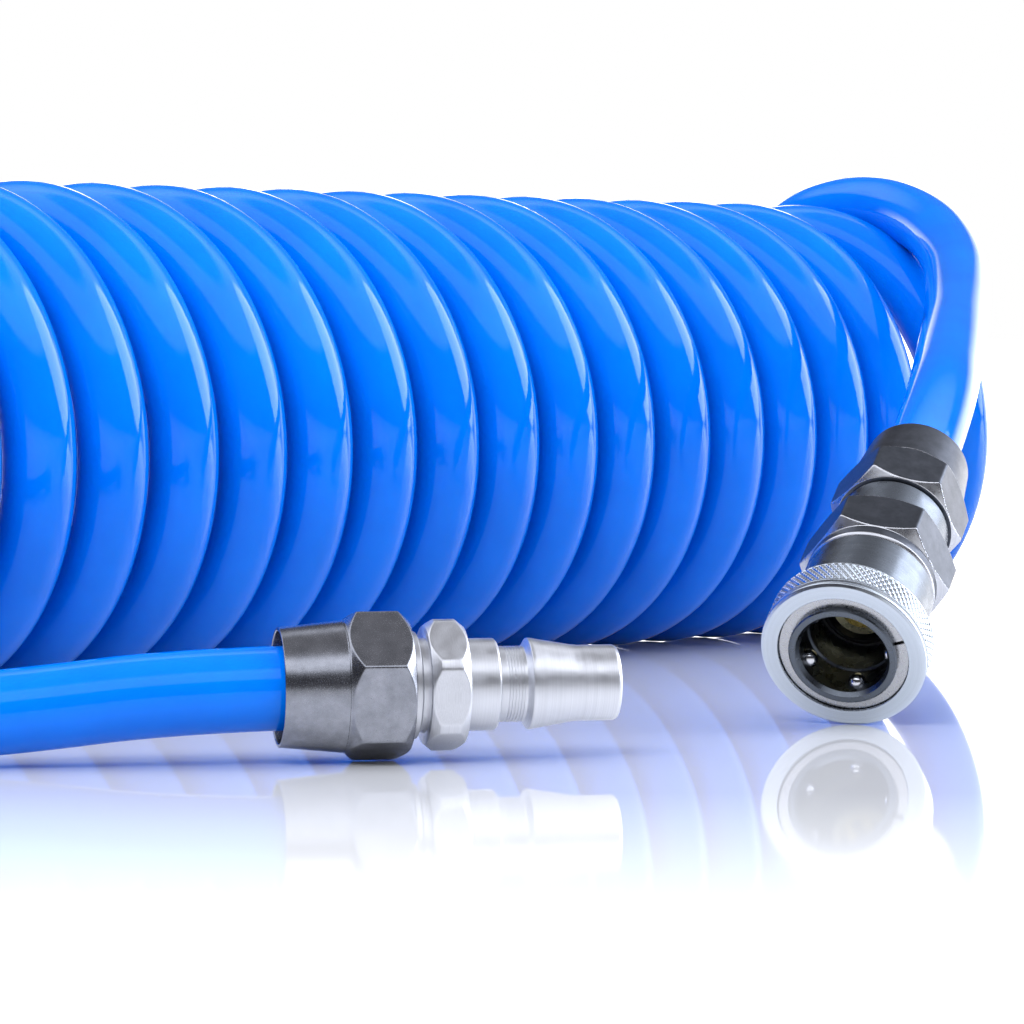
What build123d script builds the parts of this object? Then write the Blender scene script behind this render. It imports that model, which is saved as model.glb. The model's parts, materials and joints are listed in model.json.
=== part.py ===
"""Coiled air hose: a 6 m recoil hose with a quick-coupling plug on one end and a
quick-release socket on the other.

Millimetres, +Z up, resting on z = 0. The coil's axis runs along X. Each fitting is
modelled along its own axis, with distances measured from its open end.
"""

import math
import os

from build123d import *

# ---------------------------------------------------------------- driving sizes
HOSE_R = 6.0  # outside of the hose
HOSE_BORE_R = 4.0  # inside of the hose

COIL_R = 37.07  # from the coil's axis to the middle of the hose
COIL_PITCH = 15.22
COIL_TURNS = 23
COIL_START_X = -183.37  # where the first turn touches the ground
COIL_AXIS_Y = 56.62
COIL_AXIS_Z = COIL_R + HOSE_R
COIL_SPREAD = 4.4  # how the last turns open out
COIL_SPREAD_FROM = 21.5  # the turn at which they begin to
COIL_LAP = 4.0  # how far inside the end turn's middle the coil's solid stops

PLUG_MOUTH = (-92.97, -65.33, 10.76)
PLUG_HEADING = -35.2  # degrees from +X, from the hose towards the nose

SOCKET_MOUTH_XY = (4.03, -87.88)
SOCKET_HEADING = 25.2  # degrees from +X, from the mouth towards the hose
SOCKET_TILT = 29.25  # how far that direction rises
SLEEVE_R = 12.95
FRONT_EDGE = 0.6  # station where the sleeve reaches its full radius, and rests
SOCKET_LENGTH = 56.1  # mouth to the rim that the hose enters

BALL_R = 1.5
BALL_COUNT = 5
BALL_STATION = 3.6  # from the mouth
BALL_RING_R = 7.1  # from the axis to each ball's middle, when locked
BALL_FIRST_ANGLE = 84.0
MOUTH_BORE_R = 6.9  # the barrel's bore where the balls are
GUIDE_BORE_R = 6.6  # and behind them, where it guides the plug
GUIDE_START = 6.5
BARREL_R = 8.5

# Corners of the hose's path where it isn't coiled.
TAIL_CORNERS = [
    (-102.77, -58.38, 10.70),
    (-123.97, -40.88, 7.40),
    (-144.47, -22.98, 6.00),
    (-167.27, -4.48, 6.00),
    (-181.27, 17.52, 6.00),
    (-184.27, 41.52, 6.00),
]
LOOP_CORNERS = [
    (178.33, 65.62, 6.00),
    (182.23, 78.62, 13.50),
    (183.93, 88.12, 31.50),
    (183.93, 89.32, 53.00),
    (181.03, 81.62, 71.50),
    (177.03, 68.62, 83.00),
    (175.03, 48.62, 87.00),
    (170.03, 28.62, 83.00),
    (155.03, 8.62, 75.00),
    (129.03, -12.38, 66.00),
    (95.03, -37.38, 57.00),
    (61.03, -61.08, 46.30),
]
ARC_SHARE = 0.45  # share of the shorter run that each arc takes up


# ---------------------------------------------------------------- frames
def direction(heading, rise=0.0):
    """A unit vector from a heading in the ground plane and a rise, in degrees."""
    h, r = math.radians(heading), math.radians(rise)
    return Vector(math.cos(h) * math.cos(r), math.sin(h) * math.cos(r), math.sin(r))


PLUG = Plane(PLUG_MOUTH, x_dir=direction(PLUG_HEADING - 90), z_dir=direction(PLUG_HEADING))
SOCKET_MOUTH_Z = (
    SLEEVE_R * math.cos(math.radians(SOCKET_TILT))
    - FRONT_EDGE * math.sin(math.radians(SOCKET_TILT))
)
SOCKET = Plane(
    (*SOCKET_MOUTH_XY, SOCKET_MOUTH_Z),
    x_dir=direction(SOCKET_HEADING - 90),
    z_dir=direction(SOCKET_HEADING, SOCKET_TILT),
)


# ---------------------------------------------------------------- shape helpers
def turned(*outline):
    """A turned piece from (radius, station) points, taken in order round its section."""
    points = [(r, 0, s) for r, s in outline]
    section = make_face(Polyline(*points, close=True))
    return revolve(section, Axis.Z)


def ring(inner, outer, start, end):
    return turned((inner, start), (outer, start), (outer, end), (inner, end))


def hexagon(flats, start, end, corner_angle, chamfer=1.6):
    """A hexagonal prism whose corners are turned down at both ends."""
    corner_r = flats / math.sqrt(3)
    end_r = flats / 2 - 0.15
    slope = (corner_r - end_r) / chamfer
    prism = extrude(
        Pos(0, 0, start) * Rot(0, 0, corner_angle)
        * RegularPolygon(corner_r, 6, major_radius=True),
        end - start,
    )
    blank = turned(
        (0, start), (end_r, start), (corner_r, start + (corner_r - end_r) / slope),
        (corner_r, end - (corner_r - end_r) / slope), (end_r, end), (0, end),
    )
    return prism & blank


def barbed_stem(first, last, barbs, root_r, tip_r, step):
    """Outline points of a hose stem, from its open end, with saw-tooth barbs."""
    outline = [(root_r, first)]
    for i in range(barbs):
        start = first + 1.0 + i * step
        outline += [(root_r, start), (tip_r, start + step * 0.7), (root_r, start + step * 0.75)]
    return outline + [(root_r, last)]


def coil_spring(wire_r, middle_r, start, end, turns):
    """A compression spring whose wire stays between its two stations."""
    height = end - start - 2 * wire_r
    path = Pos(0, 0, start + wire_r) * Helix(height / turns, height, middle_r)
    section = Plane(origin=path @ 0, z_dir=path % 0) * Circle(wire_r)
    return sweep(section, path, is_frenet=True)


def helix_point(turn, reach=COIL_R):
    """Middle of the hose after a number of turns, counted from the ground up the back."""
    angle = 2 * math.pi * turn
    opened = COIL_SPREAD * max(0.0, turn - COIL_SPREAD_FROM) ** 2
    return Vector(
        COIL_START_X + COIL_PITCH * turn + opened,
        COIL_AXIS_Y + reach * math.sin(angle),
        COIL_AXIS_Z - reach * math.cos(angle),
    )


def last_coil_corner():
    """Where the route's last corner on the coil lies, with twelve corners to a turn."""
    half_step = 0.5 / 12
    return helix_point(COIL_TURNS - half_step, COIL_R / math.cos(2 * math.pi * half_step))


def hose_tube(name, corners):
    """A hollow tube along straight runs joined by tangent arcs."""
    points = [Vector(*c) for c in corners]
    radii = []
    for before, corner, after in zip(points, points[1:], points[2:]):
        run_in, run_out = corner - before, after - corner
        half_turn = math.radians(run_in.get_angle(run_out)) / 2
        radii.append(ARC_SHARE * min(run_in.length, run_out.length) / math.tan(half_turn))
    path = FilletPolyline(*points, radius=radii)
    ring_face = Circle(HOSE_R) - Circle(HOSE_BORE_R)
    tube = sweep(Plane(origin=path @ 0, z_dir=path % 0) * ring_face, path)
    expected = math.pi * (HOSE_R**2 - HOSE_BORE_R**2) * path.length
    print(f"{name}: length {path.length:.1f}, arc radii {[round(r) for r in radii]},"
          f" volume {tube.volume:.0f} against {expected:.0f}")
    return tube


# ---------------------------------------------------------------- hose
def hose_coil():
    """The outer shape of the coiled stretch: one thick tube lying along X."""
    first, last = helix_point(0).X + COIL_LAP, helix_point(COIL_TURNS).X - COIL_LAP
    axis_frame = Plane((first, COIL_AXIS_Y, COIL_AXIS_Z), z_dir=(1, 0, 0))
    return axis_frame * ring(COIL_R - HOSE_R, COIL_R + HOSE_R, 0, last - first)


def hose_tail():
    inside_plug = PLUG.from_local_coords((0, 0, PLUG_HOSE_DEPTH))
    return hose_tube("tail", [inside_plug, *TAIL_CORNERS, helix_point(0)])


def hose_loop():
    inside_socket = SOCKET.from_local_coords((0, 0, SOCKET_HOSE_DEPTH))
    return hose_tube("loop", [last_coil_corner(), *LOOP_CORNERS, inside_socket])


# ---------------------------------------------------------------- plug end
PLUG_HOSE_DEPTH = 13.5  # hose end, from the nut's mouth
PLUG_CORNER_ANGLE = 341.2  # where the nut's hexagon has a corner
PLUG_LENGTH = 48.6


def compression_nut(corner_angle):
    """Nut from its rim: thin flared skirt round the hose, hexagon with the thread inside."""
    outside = turned((0, 0), (8.45, 0), (9.35, 9.1), (9.35, 9.8), (0, 9.8))
    outside += hexagon(19.0, 9.3, 18.4, corner_angle, 1.7)
    inside = turned(
        (0, -1), (7.95, -1), (7.95, 0), (7.7, 3.0), (6.15, 6.0), (6.15, 8.2),
        (7.42, 9.5), (7.42, 17.9), (7.9, 18.6), (0, 18.6),
    )
    return outside - inside


def plug_nut():
    return compression_nut(PLUG_CORNER_ANGLE)


def plug_body():
    """Barb, thread, hexagon, collar, locking neck, flange and nose in one piece."""
    stem = barbed_stem(1.5, 13.5, 3, 3.92, 4.2, 3.4)
    outline = [(2.75, 1.5), *stem, (7.38, 13.5), (7.38, 18.2), (7.6, 18.5), (7.6, 19.5)]
    outline += [(6.7, 19.7), (6.7, 20.7), (7.0, 20.7), (7.0, 26.3)]
    outline += [(6.55, 26.3), (6.55, 30.7), (6.25, 31.0), (5.4, 31.0), (5.4, 32.1)]
    for i in range(6):  # fine wear rings on the neck
        start = 32.1 + i * 0.43
        outline += [(5.28, start), (5.28, start + 0.2), (5.4, start + 0.2), (5.4, start + 0.43)]
    outline += [(5.4, 34.9), (6.5, 35.6), (6.5, 36.0), (5.5, 41.9), (5.4, 42.9)]
    outline += [(5.4, 48.0), (5.15, 48.45), (4.7, PLUG_LENGTH), (3.75, PLUG_LENGTH)]
    outline += [(3.75, 22.0), (2.75, 21.0)]
    body = turned(*outline)
    hexagon_ring = hexagon(17.0, 20.7, 26.3, PLUG_CORNER_ANGLE - 3.7, 1.3) - ring(0, 6.9, 20, 27)
    return body + hexagon_ring


# ---------------------------------------------------------------- socket end
SOCKET_HOSE_DEPTH = SOCKET_LENGTH - PLUG_HOSE_DEPTH  # hose end, from the mouth
SEAT_STATION = 19.2
VALVE_SPRING_SEAT = 21.7
VALVE_SPRING_END = 30.8
BODY_START = 19.0  # where the hexagonal body meets the barrel


def socket_sleeve():
    """Release sleeve: it locks the balls, and frees them when it is pulled back."""
    return turned(
        (10.25, 0.2), (12.4, 0.2), (SLEEVE_R, FRONT_EDGE), (SLEEVE_R, 1.1), (12.5, 1.3),
        (12.5, 1.5), (SLEEVE_R, 1.8), (SLEEVE_R, 6.4), (12.4, 7.2), (10.46, 7.2), (10.46, 4.5),
        (8.85, 4.5), (8.85, 3.35), (9.75, 2.85), (9.75, 1.7), (10.25, 1.7),
    )


def socket_barrel():
    """Front tube with the ball holes, and the body that the sleeve slides over."""
    barrel = turned(
        (7.4, -0.2), (8.3, -0.2), (BARREL_R, 0.0), (BARREL_R, 0.8), (7.95, 0.8), (7.95, 1.7),
        (BARREL_R, 1.7), (BARREL_R, 9.5), (9.8, 9.5), (9.8, 7.15), (10.4, 7.15),
        (10.4, 18.4), (9.9, BODY_START), (7.82, BODY_START), (7.82, 13.0), (GUIDE_BORE_R, 13.0),
        (GUIDE_BORE_R, GUIDE_START), (MOUTH_BORE_R, GUIDE_START - 0.3), (MOUTH_BORE_R, 0.5),
    )
    hole_in, hole_out = BALL_RING_R - 0.5, BALL_RING_R + 1.6
    hole = turned((0, hole_in), (BALL_R - 0.04, hole_in), (BALL_R + 0.17, hole_out), (0, hole_out))
    for k in range(BALL_COUNT):
        turn = BALL_FIRST_ANGLE + k * 360 / BALL_COUNT
        barrel -= Rot(0, 0, turn) * Pos(0, 0, BALL_STATION) * Rot(0, 90, 0) * hole
    return barrel


def locking_ball(k):
    turn = BALL_FIRST_ANGLE + k * 360 / BALL_COUNT
    return Rot(0, 0, turn) * Pos(BALL_RING_R, 0, BALL_STATION) * Sphere(BALL_R)


def snap_ring():
    """Split ring in the barrel's front groove, which holds the sleeve on."""
    gap = Rot(0, 0, -14.6) * Pos(9, 0, 1.2) * Rot(30, 0, 0) * Box(4, 0.5, 3)
    return ring(7.97, 10.1, 0.85, 1.66) - gap


def main_seal():
    """Lip packing that seals round the plug's nose."""
    return turned((5.6, 13.1), (6.3, 13.6), (6.3, 13.1), (7.8, 13.1), (7.8, 14.9), (5.9, 14.9))


def body_seal():
    return Pos(0, 0, 17.2) * Torus(7.29, 0.5)


def socket_body():
    """Hexagonal body: its spigot clamps the packing, and it holds the valve seat."""
    turned_part = turned(
        (6.2, 15.0), (7.78, 15.0), (7.78, 16.6), (6.75, 16.6), (6.75, 17.8), (7.78, 17.8),
        (7.78, BODY_START), (10.0, BODY_START), (10.45, 19.6), (10.45, 22.0), (9.2, 22.0),
        (9.2, 30.0), (7.42, 30.0), (7.42, 25.6), (7.1, 25.6), (7.1, SEAT_STATION + 2.4),
        (4.8, SEAT_STATION + 0.1), (4.8, 18.4), (6.2, 18.4),
    )
    flats = hexagon(21.0, 21.3, 30.0, 310.8, 1.5) - ring(0, 9.1, 20, 31)
    return turned_part + flats


def hose_adapter():
    """Screws into the body, stops the valve spring, and carries the barb and nut thread."""
    stem = barbed_stem(SOCKET_HOSE_DEPTH, SOCKET_HOSE_DEPTH + 12, 3, 3.92, 4.2, 3.4)
    return turned(
        (5.2, 26.0), (7.38, 26.0), (7.38, 30.0), (8.8, 30.0), (9.0, 30.3), (9.0, 37.0),
        (8.6, 37.4), (7.38, 37.4), (7.38, SOCKET_HOSE_DEPTH), *stem,
        (2.75, SOCKET_HOSE_DEPTH + 12), (2.75, VALVE_SPRING_END + 0.7), (5.2, VALVE_SPRING_END),
    )


def socket_nut():
    """The same compression nut as the plug's, facing the other way."""
    return Pos(0, 0, SOCKET_LENGTH) * Rot(180, 0, 0) * compression_nut(42.4)


def sleeve_spring():
    return coil_spring(0.3, 9.15, 4.5, 9.5, 3)


def valve_poppet():
    """Valve with a slotted pusher that the plug's nose drives back off the seat."""
    pusher = ring(3.3, 4.5, SEAT_STATION - 6.0, SEAT_STATION + 0.4)
    for turn in (0, 60, 120):
        pusher -= Pos(0, 0, SEAT_STATION - 2.2) * Rot(0, 0, turn) * Box(12, 1.8, 3.6)
    head = turned(
        (0, SEAT_STATION), (4.5, SEAT_STATION), (4.5, 21.0), (5.9, 21.0), (5.9, VALVE_SPRING_SEAT),
        (3.3, VALVE_SPRING_SEAT), (3.0, 23.4), (0, 23.4),
    )
    return pusher + head


def valve_seal():
    """Seal under the valve's head, which closes on the seat."""
    return turned((4.53, 19.95), (5.35, 19.95), (5.9, 20.5), (5.9, 20.97), (4.53, 20.97))


def valve_spring():
    return coil_spring(0.35, 4.2, VALVE_SPRING_SEAT, VALVE_SPRING_END, 4.5)


# ---------------------------------------------------------------- assembly
def in_frame(frame, pieces):
    return {name: frame * piece for name, piece in pieces.items()}


def build():
    pieces = {"hose_coil": hose_coil(), "hose_tail": hose_tail(), "hose_loop": hose_loop()}
    pieces |= in_frame(PLUG, {"plug_nut": plug_nut(), "plug_body": plug_body()})
    socket = {
        "socket_sleeve": socket_sleeve(),
        "socket_barrel": socket_barrel(),
        "snap_ring": snap_ring(),
        "main_seal": main_seal(),
        "body_seal": body_seal(),
        "socket_body": socket_body(),
        "hose_adapter": hose_adapter(),
        "socket_nut": socket_nut(),
        "sleeve_spring": sleeve_spring(),
        "valve_poppet": valve_poppet(),
        "valve_seal": valve_seal(),
        "valve_spring": valve_spring(),
    }
    socket |= {f"locking_ball_{k + 1}": locking_ball(k) for k in range(BALL_COUNT)}
    return pieces | in_frame(SOCKET, socket)


os.makedirs("parts", exist_ok=True)
for node, piece in build().items():
    export_step(piece, f"parts/{node}.step")
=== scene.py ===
"""The looks of the coiled air hose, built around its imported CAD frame.

Places are in metres, in the frame's own axes. The fittings' outlines are in millimetres,
each along its own axis, as (radius, station) points with stations counted from the open end.
"""

import json
import math

import bpy
from mathutils import Matrix, Vector


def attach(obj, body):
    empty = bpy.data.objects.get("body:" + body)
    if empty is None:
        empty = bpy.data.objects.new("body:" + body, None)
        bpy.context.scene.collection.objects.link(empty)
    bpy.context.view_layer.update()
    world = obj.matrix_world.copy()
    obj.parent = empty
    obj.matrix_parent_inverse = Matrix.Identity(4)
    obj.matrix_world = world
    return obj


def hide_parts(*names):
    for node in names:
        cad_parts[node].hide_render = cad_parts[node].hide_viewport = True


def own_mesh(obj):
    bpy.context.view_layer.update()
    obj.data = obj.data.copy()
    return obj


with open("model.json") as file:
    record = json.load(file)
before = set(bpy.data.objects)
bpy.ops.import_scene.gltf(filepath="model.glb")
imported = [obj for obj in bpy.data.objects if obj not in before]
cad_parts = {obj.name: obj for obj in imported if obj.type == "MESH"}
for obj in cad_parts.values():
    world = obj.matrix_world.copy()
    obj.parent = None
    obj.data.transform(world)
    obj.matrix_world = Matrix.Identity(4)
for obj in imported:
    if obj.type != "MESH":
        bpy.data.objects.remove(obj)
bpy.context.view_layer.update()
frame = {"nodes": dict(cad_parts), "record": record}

MM = 0.001

# ---------------------------------------------------------------- driving sizes
HOSE_DIAMETER = 0.012
COIL_R = 0.03707
COIL_PITCH = 0.01522
COIL_TURNS = 23
CORNERS_PER_TURN = 12
COIL_START_X = -0.18337
COIL_AXIS_Y = 0.05662
COIL_AXIS_Z = COIL_R + HOSE_DIAMETER / 2
COIL_SPREAD_FROM = 21.5  # turn from which the coil opens out
COIL_SPREAD = 0.0044  # by this much, times the square of the turns since

# Stations and sizes of the fittings, in millimetres; corner angles are in degrees.
PLUG_HOSE_DEPTH = 13.5
PLUG_NOSE_STATION = 45.45  # station of the plug's mount
SOCKET_HOSE_DEPTH = 42.6
SOCKET_BORE_STATION = 9.75  # station of the socket's mount
SOCKET_LENGTH = 56.1
SLEEVE_R = 12.95
PLUG_CORNER_ANGLE = 341.2
BODY_CORNER_ANGLE = 310.8
SOCKET_NUT_CORNER_ANGLE = 317.6

# Corners of the hose's route where it isn't coiled.
TAIL_CORNERS = [
    (-0.10277, -0.05838, 0.01070),
    (-0.12397, -0.04088, 0.00740),
    (-0.14447, -0.02298, 0.00600),
    (-0.16727, -0.00448, 0.00600),
    (-0.18127, 0.01752, 0.00600),
    (-0.18427, 0.04152, 0.00600),
]
LOOP_CORNERS = [
    (0.17833, 0.06562, 0.00600),
    (0.18223, 0.07862, 0.01350),
    (0.18393, 0.08812, 0.03150),
    (0.18393, 0.08932, 0.05300),
    (0.18103, 0.08162, 0.07150),
    (0.17703, 0.06862, 0.08300),
    (0.17503, 0.04862, 0.08700),
    (0.17003, 0.02862, 0.08300),
    (0.15503, 0.00862, 0.07500),
    (0.12903, -0.01238, 0.06600),
    (0.09503, -0.03738, 0.05700),
    (0.06103, -0.06108, 0.04630),
]

CAMERA_PLACE = (-0.50520, -0.50735, 0.06095)
CAMERA_HEADING = math.radians(46.126)  # from +Y towards +X
CAMERA_DIP = math.radians(2.422)
CAMERA_LENS = 151.5
AWAY = (math.sin(CAMERA_HEADING), math.cos(CAMERA_HEADING), 0)  # level, away from the camera


# ---------------------------------------------------------------- the fittings' own frames
def fitting_frame(mount_name, station, sign):
    """Matrix of a fitting's frame: its origin is the open end, and Z runs along its axis."""
    mount = next(m for m in frame["record"]["mounts"] if m["name"] == mount_name)
    along = Vector(mount["axis"]).normalized() * sign
    across = along.cross(Vector((0, 0, 1))).normalized()
    third = along.cross(across)
    origin = Vector(mount["pos_m"]) - along * station * MM
    rows = zip(across, third, along, origin)
    return Matrix([*(list(row) for row in rows), [0, 0, 0, 1]])


PLUG = fitting_frame("plug_nose", PLUG_NOSE_STATION, 1)
SOCKET = fitting_frame("socket_bore", SOCKET_BORE_STATION, -1)


def on_axis(place, station):
    return place @ Vector((0, 0, station * MM))


# ---------------------------------------------------------------- shader helpers
def new_material(name):
    material = bpy.data.materials.new(name)
    material.use_nodes = True
    shader = material.node_tree.nodes["Principled BSDF"]
    return material, material.node_tree, shader


def add(tree, kind, values=None, **settings):
    """A node of that kind, with its settings and its unlinked input values."""
    node = tree.nodes.new("ShaderNode" + kind)
    for key, value in settings.items():
        setattr(node, key, value)
    for key, value in (values or {}).items():
        node.inputs[key].default_value = value
    return node


def fitting_coordinates(tree, place):
    """Millimetres in a fitting's own frame."""
    coordinates = add(tree, "TexCoord")
    mapping = add(tree, "Mapping", vector_type="TEXTURE")
    mapping.inputs["Location"].default_value = place.to_translation()
    mapping.inputs["Rotation"].default_value = place.to_euler()
    mapping.inputs["Scale"].default_value = (MM, MM, MM)
    tree.links.new(coordinates.outputs["Object"], mapping.inputs["Vector"])
    return mapping.outputs["Vector"]


def turning_coordinates(tree, local):
    """(radius, station, 0) of a point, so that a noise of it draws lathe marks."""
    split = add(tree, "SeparateXYZ")
    tree.links.new(local, split.inputs[0])
    flat = add(tree, "CombineXYZ")
    tree.links.new(split.outputs["X"], flat.inputs["X"])
    tree.links.new(split.outputs["Y"], flat.inputs["Y"])
    radius = add(tree, "VectorMath", operation="LENGTH")
    tree.links.new(flat.outputs[0], radius.inputs[0])
    joined = add(tree, "CombineXYZ")
    tree.links.new(radius.outputs["Value"], joined.inputs["X"])
    tree.links.new(split.outputs["Z"], joined.inputs["Y"])
    return joined.outputs[0]


def share_along(tree, vector, along):
    """The dot product of a vector with a fixed one."""
    node = add(tree, "VectorMath", {1: along}, operation="DOT_PRODUCT")
    tree.links.new(vector, node.inputs[0])
    return node.outputs["Value"]


def noise(tree, vector, scale, detail=3.0, roughness=0.5):
    node = add(tree, "TexNoise", {"Scale": scale, "Detail": detail, "Roughness": roughness})
    tree.links.new(vector, node.inputs["Vector"])
    return node.outputs["Fac"]


def span(tree, value, low, high, from_low=0.3, from_high=0.7):
    """Maps a value onto a range; the input range left out is that of a noise."""
    node = add(tree, "MapRange", {"From Min": from_low, "From Max": from_high,
                                  "To Min": low, "To Max": high})
    tree.links.new(value, node.inputs["Value"])
    return node.outputs["Result"]


def ramp(tree, value, *stops):
    """A colour ramp from (position, (r, g, b)) stops."""
    node = add(tree, "ValToRGB")
    elements = node.color_ramp.elements
    while len(elements) < len(stops):
        elements.new(0.5)
    for element, (position, colour) in zip(elements, stops):
        element.position = position
        element.color = (*colour, 1.0)
    tree.links.new(value, node.inputs["Fac"])
    return node.outputs["Color"]


def mixed(tree, factor, first, second):
    """Goes from the first colour to the second; each is an output socket or (r, g, b)."""
    node = add(tree, "Mix", data_type="RGBA")
    tree.links.new(factor, node.inputs["Factor"])
    for socket, colour in zip(node.inputs[6:8], (first, second)):  # the two colour inputs
        if isinstance(colour, tuple):
            socket.default_value = (*colour, 1.0)
        else:
            tree.links.new(colour, socket)
    return node.outputs[2]


def bump(tree, shader, height, distance, strength, under=None):
    """Adds a bump, on top of the bump under it if one is given."""
    node = add(tree, "Bump", {"Strength": strength, "Distance": distance})
    tree.links.new(height, node.inputs["Height"])
    if under is not None:
        tree.links.new(under, node.inputs["Normal"])
    tree.links.new(node.outputs["Normal"], shader.inputs["Normal"])
    return node.outputs["Normal"]


# ---------------------------------------------------------------- materials
def hose_material():
    """Glossy blue polyurethane that light enters a little way, with faint cloudiness."""
    material, tree, shader = new_material("blue_polyurethane")
    coordinates = add(tree, "TexCoord").outputs["Object"]
    clouds = noise(tree, coordinates, 60.0, 3.0)
    colour = ramp(tree, clouds, (0.35, (0.0, 0.152, 0.72)), (0.65, (0.0, 0.175, 0.80)))
    tree.links.new(colour, shader.inputs["Base Color"])
    handling = noise(tree, coordinates, 35.0, 5.0, 0.6)
    tree.links.new(span(tree, handling, 0.04, 0.08), shader.inputs["Roughness"])
    shader.inputs["IOR"].default_value = 1.5
    shader.inputs["Specular IOR Level"].default_value = 0.4
    shader.inputs["Specular Tint"].default_value = (0.6, 0.8, 1.0, 1)
    shader.inputs["Subsurface Weight"].default_value = 0.25
    shader.inputs["Subsurface Radius"].default_value = (0.2, 0.6, 1.0)
    shader.inputs["Subsurface Scale"].default_value = 0.003
    fine = noise(tree, coordinates, 900.0, 2.0)
    bump(tree, shader, fine, 0.00002, 0.3)
    return material


def turned_metal(name, place, dark, light, roughness=(0.22, 0.34)):
    """Plated steel with lathe marks round the fitting's axis."""
    material, tree, shader = new_material(name)
    local = fitting_coordinates(tree, place)
    turning = turning_coordinates(tree, local)
    lines = noise(tree, turning, 9.0, 6.0, 0.7)
    patches = noise(tree, local, 0.5, 3.0)
    tree.links.new(ramp(tree, lines, (0.3, dark), (0.7, light)), shader.inputs["Base Color"])
    shader.inputs["Metallic"].default_value = 1.0
    tree.links.new(span(tree, patches, *roughness), shader.inputs["Roughness"])
    grain = noise(tree, local, 9.0, 3.0)
    first = bump(tree, shader, lines, 0.004 * MM, 0.6)
    bump(tree, shader, grain, 0.002 * MM, 0.5, first)
    return material


def grained_metal(name, place, dark, light, roughness=(0.28, 0.42)):
    """Plated steel with a fine even grain, as on rolled hexagon bar."""
    material, tree, shader = new_material(name)
    local = fitting_coordinates(tree, place)
    patches = noise(tree, local, 0.45, 4.0, 0.6)
    tree.links.new(ramp(tree, patches, (0.3, dark), (0.7, light)), shader.inputs["Base Color"])
    shader.inputs["Metallic"].default_value = 1.0
    grain = noise(tree, local, 5.0, 5.0, 0.65)
    tree.links.new(span(tree, grain, *roughness), shader.inputs["Roughness"])
    bump(tree, shader, grain, 0.01 * MM, 0.7)
    return material


def polished_metal(name, place, colour, roughness):
    material, tree, shader = new_material(name)
    local = fitting_coordinates(tree, place)
    smears = noise(tree, local, 1.2, 3.0)
    darker = tuple(c * 0.9 for c in colour)
    tree.links.new(ramp(tree, smears, (0.3, darker), (0.7, colour)), shader.inputs["Base Color"])
    shader.inputs["Metallic"].default_value = 1.0
    tree.links.new(span(tree, smears, roughness, roughness * 1.8), shader.inputs["Roughness"])
    return material


def seal_rubber(place):
    material, tree, shader = new_material("nitrile_rubber")
    local = fitting_coordinates(tree, place)
    grain = noise(tree, local, 4.0, 4.0)
    colour = ramp(tree, grain, (0.3, (0.012, 0.012, 0.013)), (0.7, (0.024, 0.024, 0.026)))
    tree.links.new(colour, shader.inputs["Base Color"])
    tree.links.new(span(tree, grain, 0.45, 0.6), shader.inputs["Roughness"])
    bump(tree, shader, grain, 0.01 * MM, 0.5)
    return material


# ---------------------------------------------------------------- mesh helpers
ROUNDED_POINTS = 6  # points that softened() puts at each corner
HEXAGON_END_DROP = 0.15  # how far inside its flats a hexagon's ends are turned down
HEXAGON_EDGE_ROUNDING = 0.35  # between two flats
HEXAGON_BLANK_ROUNDING = 0.14  # between a flat and the turned blank


def mesh_piece(name, vertices, faces, material):
    mesh = bpy.data.meshes.new(name)
    mesh.from_pydata(vertices, [], faces)
    mesh.validate()
    mesh.update()
    mesh.polygons.foreach_set("use_smooth", [True] * len(mesh.polygons))
    mesh.materials.append(material)
    piece = bpy.data.objects.new(name, mesh)
    bpy.context.scene.collection.objects.link(piece)
    return piece


def softened(outline, size):
    """The closed outline with each corner rounded, and a support point beside each rounding."""
    points = [Vector(p) for p in outline]
    result = []
    for before, corner, after in zip([points[-1], *points], points, [*points[1:], points[0]]):
        back, on = before - corner, after - corner
        reach = min(size, 0.35 * back.length, 0.35 * on.length)
        back.normalize()
        on.normalize()
        result += [corner + back * reach * 1.3, corner + back * reach]
        for t in (1 / 3, 2 / 3):
            result.append(corner + back * reach * (1 - t) ** 2 + on * reach * t ** 2)
        result += [corner + on * reach, corner + on * reach * 1.3]
    return [tuple(p) for p in result]


def turned_piece(name, outline, place, material, segments, reshape, first_angle=0.0):
    """A turned piece from its closed outline; reshape(radius, station, angle) alters it."""
    vertices, faces = [], []
    count = len(outline)
    for i in range(segments):
        angle = math.radians(first_angle) + 2 * math.pi * i / segments
        for radius, station in outline:
            r = reshape(radius, station, angle)
            point = Vector((r * math.cos(angle), r * math.sin(angle), station)) * MM
            vertices.append(place @ point)
        here, there = i * count, (i + 1) % segments * count
        for j in range(count):
            k = (j + 1) % count
            faces.append((here + j, here + k, there + k, there + j))
    return mesh_piece(name, vertices, faces, material)


def blended_min(a, b, width):
    """The smaller of two values, rounded where they meet."""
    overlap = max(width - abs(a - b), 0.0) / width
    return min(a, b) - overlap * overlap * width / 4


def hexagon_reach(flats, corner_angle):
    """How far a hexagon reaches in each direction."""
    def reach(angle):
        turn = (math.degrees(angle) - corner_angle) % 60.0
        first = flats / 2 / math.cos(math.radians(turn - 30))
        second = flats / 2 / math.cos(math.radians(turn - 30 + (60 if turn < 30 else -60)))
        return blended_min(first, second, HEXAGON_EDGE_ROUNDING)
    return reach


def steps(start, end, size):
    """Stations from start to end, no further apart than size."""
    count = max(1, math.ceil(abs(end - start) / size))
    return [start + (end - start) * i / count for i in range(count + 1)]


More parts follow.
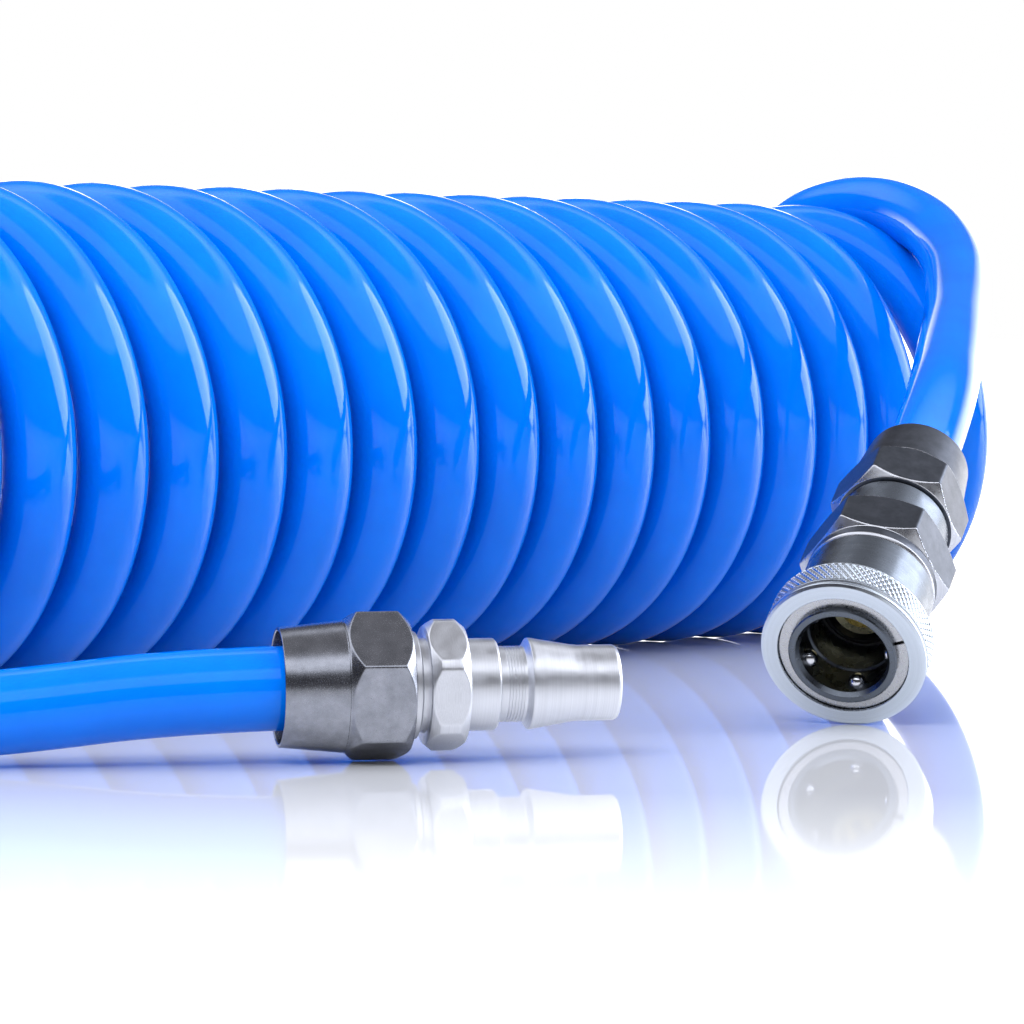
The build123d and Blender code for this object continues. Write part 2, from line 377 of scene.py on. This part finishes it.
def hexagon_outline(flats, start, end, chamfer, corner_r=None):
    """Outer outline points of a hexagon turned down at both ends, from start to end."""
    corner_r = corner_r or flats / math.sqrt(3)
    end_r = flats / 2 - HEXAGON_END_DROP
    points = [(end_r + (corner_r - end_r) * t, start + chamfer * t) for t in steps(0, 1, 0.07)]
    points += [(corner_r, s) for s in steps(start + chamfer, end - chamfer, 0.5)[1:-1]]
    points += [(end_r + (corner_r - end_r) * t, end - chamfer * t) for t in steps(1, 0, 0.07)]
    return points


def hexagon_shape(flats, start, end, corner_angle):
    """A reshape function that cuts a turned blank down to a hexagon between two stations."""
    reach = hexagon_reach(flats, corner_angle)

    def shape(radius, station, angle):
        if start - 0.01 <= station <= end + 0.01 and radius > flats / 2 - 1.0:
            return blended_min(radius, reach(angle), HEXAGON_BLANK_ROUNDING)
        return radius
    return shape


def bare_ends(piece, place, inner_r, material):
    """Gives a hexagon's turned-down ends, outside that radius, their own brighter metal."""
    piece.data.materials.append(material)
    along = place.col[2].to_3d().normalized()
    local = place.inverted()
    for polygon in piece.data.polygons:
        outside = (local @ polygon.center).to_2d().length > inner_r * MM
        if outside and abs(polygon.normal.dot(along)) > 0.3:
            polygon.material_index = 1


def spring_piece(name, wire_r, middle_r, start, end, turns, place, material):
    """A compression spring with closed ends, as a wire swept along its helix."""
    sides, per_turn = 10, 40
    rows = int(turns * per_turn)
    vertices, faces = [], []
    for i in range(rows + 1):
        angle = 2 * math.pi * i / per_turn
        station = start + wire_r + (end - start - 2 * wire_r) * i / rows
        outward = Vector((math.cos(angle), math.sin(angle), 0))
        for k in range(sides):
            turn = 2 * math.pi * k / sides
            reach = middle_r + wire_r * math.cos(turn)
            point = outward * reach + Vector((0, 0, station + wire_r * math.sin(turn)))
            vertices.append(place @ (point * MM))
        if i < rows:
            for k in range(sides):
                n = (k + 1) % sides
                faces.append((i * sides + k, i * sides + n, (i + 1) * sides + n,
                              (i + 1) * sides + k))
    faces.append(tuple(range(sides))[::-1])
    faces.append(tuple(rows * sides + k for k in range(sides)))
    return mesh_piece(name, vertices, faces, material)


def stand_for(piece, body, slot, *nodes):
    """The piece rides on the body and is shown in the nodes' place; the slot is not used."""
    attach(piece, body)
    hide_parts(*nodes)
    return piece


# ---------------------------------------------------------------- hose
def coil_corners():
    """Corners of the route's polygon round the coil, starting on the ground."""
    reach = COIL_R / math.cos(math.pi / CORNERS_PER_TURN)
    corners = []
    for i in range(COIL_TURNS * CORNERS_PER_TURN):
        turn = (i + 0.5) / CORNERS_PER_TURN
        opened = COIL_SPREAD * max(0.0, turn - COIL_SPREAD_FROM) ** 2
        angle = 2 * math.pi * turn
        corners.append((
            COIL_START_X + COIL_PITCH * turn + opened,
            COIL_AXIS_Y + reach * math.sin(angle),
            COIL_AXIS_Z - reach * math.cos(angle),
        ))
    return corners


def make_hose(material):
    route = [
        on_axis(PLUG, PLUG_HOSE_DEPTH),
        *TAIL_CORNERS,
        *coil_corners(),
        *LOOP_CORNERS,
        on_axis(SOCKET, SOCKET_HOSE_DEPTH),
    ]
    curve = bpy.data.curves.new("hose", "CURVE")
    curve.dimensions = "3D"
    curve.resolution_u = 8
    curve.bevel_depth = HOSE_DIAMETER / 2
    curve.bevel_resolution = 10
    curve.use_fill_caps = True
    spline = curve.splines.new("NURBS")
    spline.points.add(len(route) - 1)
    for point, corner in zip(spline.points, route):
        point.co = (*corner, 1.0)
    spline.order_u = 3
    spline.use_endpoint_u = True
    spline.use_smooth = True
    curve.materials.append(material)
    hose = bpy.data.objects.new("hose", curve)
    bpy.context.scene.collection.objects.link(hose)
    return stand_for(hose, "hose", "hose", "hose_coil", "hose_tail", "hose_loop")


# ---------------------------------------------------------------- plug end
def make_compression_nut(name, place, corner_angle, material, node, slot):
    """Thin flared skirt round the hose, then a hexagon; stations count from the skirt's rim."""
    start, end, flats = 9.3, 18.4, 19.0
    skirt = softened([
        (6.15, 8.2), (6.15, 6.0), (7.7, 3.0), (7.95, 0.0), (8.45, 0.0), (8.9, 4.55), (9.35, 9.1),
    ], 0.15)[ROUNDED_POINTS:]
    outline = skirt + hexagon_outline(flats, start, end, 1.7)
    outline += [(7.9, end + 0.1), (7.42, 17.9), (7.42, 9.5), (6.15, 8.2)]
    shape = hexagon_shape(flats, start, end, corner_angle)
    nut = turned_piece(name, outline, place, material, 360, shape, corner_angle)
    return stand_for(nut, "hose", slot, node)


def make_plug_body(material):
    """Barb, thread, hexagon, collar, grooved neck, flange and nose."""
    start, end, flats = 20.7, 26.3, 17.0
    grooves, groove_pitch = 6, 0.43
    front = [(6.55, end), (6.55, 30.7), (6.25, 31.0), (5.4, 31.0), (5.4, 32.1)]
    for i in range(grooves):
        groove = 32.1 + i * groove_pitch
        front += [(5.25, groove), (5.25, groove + 0.2), (5.4, groove + 0.2),
                  (5.4, groove + groove_pitch)]
    front += [
        (5.4, 34.9), (6.5, 35.6), (6.5, 36.0), (5.5, 41.9), (5.4, 42.9), (5.4, 48.0),
        (5.15, 48.45), (4.7, 48.6), (3.75, 48.6), (3.75, 22.0), (2.75, 21.0), (2.75, 1.5),
        (3.92, 1.5), (3.92, 13.5), (7.38, 13.5), (7.38, 18.2), (7.6, 18.5), (7.6, 19.5),
        (6.7, 19.7), (6.7, start),
    ]
    outline = hexagon_outline(flats, start, end, 1.3, 9.4) + softened(front, 0.15)
    corner_angle = PLUG_CORNER_ANGLE - 3.7
    shape = hexagon_shape(flats, start, end, corner_angle)
    body = turned_piece("plug_coupling", outline, PLUG, material, 360, shape, corner_angle)
    return stand_for(body, "hose", "plug_steel", "plug_body")


# ---------------------------------------------------------------- socket end
def make_socket_body(material):
    """Collar that meets the barrel, hexagon, and the valve seat inside."""
    start, end, flats = 21.3, 30.0, 21.0
    half = ROUNDED_POINTS // 2
    outline = softened([(7.78, 19.0), (10.0, 19.0), (10.4, 19.5), (10.35, start)], 0.2)
    outline = outline[half:-half]
    outline += hexagon_outline(flats, start, end, 1.5)
    outline += softened([
        (7.42, end), (7.42, 25.6), (7.1, 25.6), (7.1, 21.6), (4.8, 19.3), (4.8, 18.4),
        (6.2, 18.4), (6.2, 15.0), (7.78, 15.0), (7.78, 16.6), (6.75, 16.6), (6.75, 17.8),
        (7.78, 17.8),
    ], 0.1)
    shape = hexagon_shape(flats, start, end, BODY_CORNER_ANGLE)
    body = turned_piece("socket_hexagon", outline, SOCKET, material, 360, shape,
                        BODY_CORNER_ANGLE)
    return stand_for(body, "hose", "socket_steel", "socket_body")


def make_sleeve(material):
    """Release sleeve, with a diamond knurl cut into its outer band."""
    first, last = 1.9, 6.3
    outline = softened([
        (10.46, 7.2), (10.46, 4.5), (8.85, 4.5), (8.85, 3.35), (9.75, 2.85), (9.75, 1.7),
        (10.25, 1.7), (10.25, 0.2), (12.4, 0.2), (SLEEVE_R, 0.6), (SLEEVE_R, 1.1), (12.5, 1.3),
        (12.5, 1.5), (SLEEVE_R, 1.8),
    ], 0.12)
    outline += [(SLEEVE_R, s) for s in steps(first, last, 0.1)]
    outline += softened([(SLEEVE_R, 6.4), (12.4, 7.2)], 0.12)
    teeth, depth, run_out = 72, 0.32, 0.25
    slant = 0.8

    def knurl(radius, station, angle):
        if radius < SLEEVE_R - 0.01 or not first <= station <= last:
            return radius
        lean = station / (2 * math.pi * SLEEVE_R / teeth)
        turn = teeth * angle / (2 * math.pi)
        edge = min(1.0, (station - first) / run_out, (last - station) / run_out)
        one = abs((turn + lean * slant) % 1.0 - 0.5) * 2
        other = abs((turn - lean * slant) % 1.0 - 0.5) * 2
        groove = max(0.0, (one - 0.4) / 0.6, (other - 0.7) / 0.3 * 0.55)
        return radius - depth * edge * groove
    sleeve = turned_piece("knurled_sleeve", outline, SOCKET, material, teeth * 10, knurl)
    return stand_for(sleeve, "sleeve", "sleeve_steel", "socket_sleeve")


def make_springs(material):
    around = spring_piece("sleeve_return_spring", 0.3, 9.15, 4.5, 9.5, 3, SOCKET, material)
    stand_for(around, "hose", "spring_steel", "sleeve_spring")
    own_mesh(around)
    behind = spring_piece("valve_return_spring", 0.35, 4.2, 21.7, 30.8, 4.5, SOCKET, material)
    stand_for(behind, "hose", "spring_steel", "valve_spring")
    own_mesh(behind)


def dress(node, material):
    """Gives a CAD node that stays in view its material."""
    data = frame["nodes"][node].data
    data.materials.clear()
    data.materials.append(material)


# ---------------------------------------------------------------- stage
def make_floor():
    """A glossy pale floor, painted paler and glowing as painted light towards the front, so that
    it fades to plain white in front of the object.
    """
    near, far = -0.37, -0.15  # places along AWAY: white up to near, glossy from far on
    bpy.ops.mesh.primitive_plane_add(size=40)
    floor = bpy.context.object
    floor.name = "studio_floor"
    material, tree, shader = new_material("glossy_table_with_painted_glow")
    place = add(tree, "TexCoord").outputs["Object"]
    # painted light: towards the front the floor's colour is painted paler and it glows, though it
    # is no lamp
    fade = span(tree, share_along(tree, place, AWAY), 1, 0, near, far)
    tree.links.new(ramp(tree, fade, (0.0, (0.62, 0.63, 0.66)), (1.0, (1, 1, 1))),
                   shader.inputs["Base Color"])
    tree.links.new(ramp(tree, fade, (0.0, (0, 0, 0)), (1.0, (0.26, 0.26, 0.25))),
                   shader.inputs["Emission Color"])
    shader.inputs["Emission Strength"].default_value = 1.0
    tree.links.new(span(tree, fade, 0.03, 0.1, 0, 1), shader.inputs["Roughness"])
    shader.inputs["IOR"].default_value = 1.3
    floor.data.materials.append(material)


def make_world():
    """The surround, which looks different to each kind of ray.

    Camera rays see plain white and diffuse rays an even pale light. Reflections see a soft
    light high on the camera's side over the dark, a low white band behind, and a bright
    round window at the side.
    """
    dark, soft, white = (0.06, 0.06, 0.07), (1.5, 1.55, 1.7), (3.2, 3.2, 3.3)
    top, back, window = (0.3, 0.3, 0.32), (0.12, 0.12, 0.14), (5.5, 5.8, 6.5)
    world = bpy.data.worlds.new("studio")
    bpy.context.scene.world = world
    world.use_nodes = True
    tree = world.node_tree
    background = tree.nodes["Background"]
    background.inputs["Strength"].default_value = 1.0
    direction = add(tree, "TexCoord").outputs["Generated"]
    split = add(tree, "SeparateXYZ")
    tree.links.new(direction, split.inputs[0])
    height = split.outputs["Z"]
    before = ramp(tree, height, (0.0, dark), (0.5, dark), (0.56, soft), (0.84, soft), (0.90, top))
    behind = ramp(tree, height, (0.16, white), (0.34, back))
    facing = span(tree, share_along(tree, direction, AWAY), 0, 1, 0.45, 0.75)
    towards_window = Vector((0.78, -0.45, 0.40)).normalized()
    beside = span(tree, share_along(tree, direction, towards_window), 0, 1, 0.91, 0.925)
    ray = add(tree, "LightPath")
    seen = mixed(tree, facing, before, behind)
    seen = mixed(tree, beside, seen, window)
    seen = mixed(tree, ray.outputs["Is Camera Ray"], seen, (1.0, 1.0, 1.0))
    seen = mixed(tree, ray.outputs["Is Diffuse Ray"], seen, (0.95, 0.96, 1.0))
    tree.links.new(seen, background.inputs["Color"])


def softbox(name, place, aim, width, height, power, colour=(1, 1, 1)):
    """A soft lamp that doesn't show in reflections."""
    data = bpy.data.lights.new(name, "AREA")
    data.shape = "RECTANGLE"
    data.size, data.size_y = width, height
    data.energy = power
    data.color = colour
    lamp = bpy.data.objects.new(name, data)
    lamp.location = place
    lamp.rotation_euler = (Vector(aim) - Vector(place)).to_track_quat("-Z", "Y").to_euler()
    lamp.visible_glossy = False
    bpy.context.scene.collection.objects.link(lamp)


def make_lights():
    """Fill light only: what shines on the metal comes from the surround."""
    middle = (0, 0, 0.04)
    softbox("overhead", (0.1, 0.1, 1.1), middle, 1.4, 1.0, 3)
    softbox("front_high", (-0.75, -0.35, 0.75), middle, 0.8, 0.5, 9, (0.93, 0.95, 1.0))


def make_camera():
    data = bpy.data.cameras.new("camera")
    data.lens = CAMERA_LENS
    data.sensor_width = 36
    data.clip_start, data.clip_end = 0.01, 50
    camera = bpy.data.objects.new("camera", data)
    camera.location = CAMERA_PLACE
    camera.rotation_euler = (math.pi / 2 - CAMERA_DIP, 0, -CAMERA_HEADING)
    bpy.context.scene.collection.objects.link(camera)
    bpy.context.scene.camera = camera


# ---------------------------------------------------------------- the whole object
def build():
    hose = make_hose(hose_material())

    plug_grained = grained_metal("plug_hexagon_steel", PLUG, (0.26, 0.27, 0.30),
                                 (0.38, 0.39, 0.43), (0.18, 0.30))
    plug_turned = turned_metal("plug_turned_steel", PLUG, (0.68, 0.69, 0.72),
                               (0.84, 0.85, 0.89), (0.32, 0.45))
    make_compression_nut("plug_compression_nut", PLUG, PLUG_CORNER_ANGLE, plug_grained,
                         "plug_nut", "plug_steel")
    make_plug_body(plug_turned)

    body_steel = grained_metal("socket_hexagon_steel", SOCKET, (0.06, 0.067, 0.08),
                               (0.10, 0.108, 0.13))
    bare_steel = turned_metal("bare_steel", SOCKET, (0.60, 0.61, 0.64), (0.78, 0.79, 0.83))
    barrel_steel = turned_metal("socket_turned_steel", SOCKET, (0.11, 0.125, 0.145),
                                (0.17, 0.19, 0.22))
    sleeve_steel = turned_metal("sleeve_steel", SOCKET, (0.56, 0.61, 0.67), (0.70, 0.76, 0.83),
                                (0.16, 0.26))
    spring_steel = polished_metal("spring_steel", SOCKET, (0.6, 0.6, 0.61), 0.2)
    ball_steel = polished_metal("ball_steel", SOCKET, (0.85, 0.85, 0.87), 0.05)
    brass = turned_metal("valve_brass", SOCKET, (0.62, 0.55, 0.30), (0.75, 0.67, 0.40))
    rubber = seal_rubber(SOCKET)

    hexagon = make_socket_body(body_steel)
    turned_round = Matrix.Rotation(math.pi, 4, "X")
    rim = SOCKET @ Matrix.Translation((0, 0, SOCKET_LENGTH * MM)) @ turned_round
    nut = make_compression_nut("socket_compression_nut", rim, -SOCKET_NUT_CORNER_ANGLE,
                               body_steel, "socket_nut", "socket_steel")
    bare_ends(hexagon, SOCKET, 9.9, bare_steel)
    bare_ends(nut, SOCKET, 9.3, bare_steel)
    make_sleeve(sleeve_steel)
    make_springs(spring_steel)
    dress("socket_barrel", barrel_steel)
    dress("hose_adapter", barrel_steel)
    dress("snap_ring", spring_steel)
    dress("valve_poppet", brass)
    for node in ("main_seal", "body_seal", "valve_seal"):
        dress(node, rubber)
    for node in sorted(frame["nodes"]):
        if node.startswith("locking_ball"):
            dress(node, ball_steel)


bpy.context.scene.view_settings.view_transform = "Standard"
make_camera()
make_floor()
make_world()
make_lights()
build()
